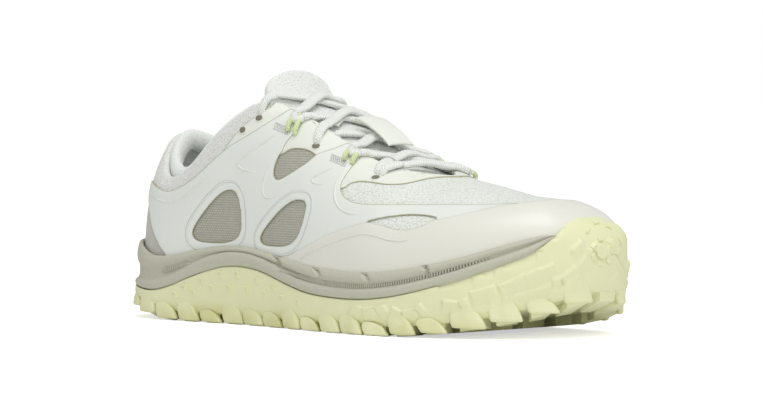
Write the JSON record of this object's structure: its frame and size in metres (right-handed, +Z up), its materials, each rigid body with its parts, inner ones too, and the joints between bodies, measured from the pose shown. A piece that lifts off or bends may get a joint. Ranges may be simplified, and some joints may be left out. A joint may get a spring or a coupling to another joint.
{
  "type": "trail running shoe",
  "caption": "Right low trail shoe with a flexible lugged rubber sole, foam midsole, lined upper, padded tongue and criss-cross laces through cord loops.",
  "frame": {"origin": "centre of the bounding box, on the ground under the sole", "axes": "+X from heel to toe, +Y to the medial side, +Z up"},
  "size_m": [0.2818, 0.1041, 0.1191],
  "materials": {
    "outsole_rubber": "matt moulded rubber, pale yellow green",
    "midsole_foam": "fine grained matt foam, warm light grey",
    "upper_cloth": "white film over fine mesh, satin",
    "lining_cloth": "soft pale knitted lining",
    "side_film": "thin satin film, very pale mint white",
    "toe_film": "translucent satin film, warm off-white",
    "eyestay_cream": "matt cream overlay",
    "lace_tape": "flat woven tape, very pale mint",
    "loop_cord": "braided round cord, pale lime"
  },
  "bodies": {
    "root": {"outsole": "outsole_rubber", "midsole": "midsole_foam", "upper": "upper_cloth", "insole": "lining_cloth", "tongue": "lining_cloth", "heel_counter": "side_film", "side_film_lateral": "side_film", "side_film_medial": "side_film", "toe_rand": "toe_film", "eyestay": "eyestay_cream", "laces": "lace_tape", "lace_keeper": "side_film", "lace_loop_lateral_2": "loop_cord", "lace_loop_lateral_4": "loop_cord", "lace_loop_medial_1": "loop_cord", "lace_loop_medial_2": "loop_cord", "lace_loop_medial_3": "loop_cord", "lace_loop_medial_4": "loop_cord", "lace_loop_medial_5": "loop_cord"}
  },
  "joints": []
}
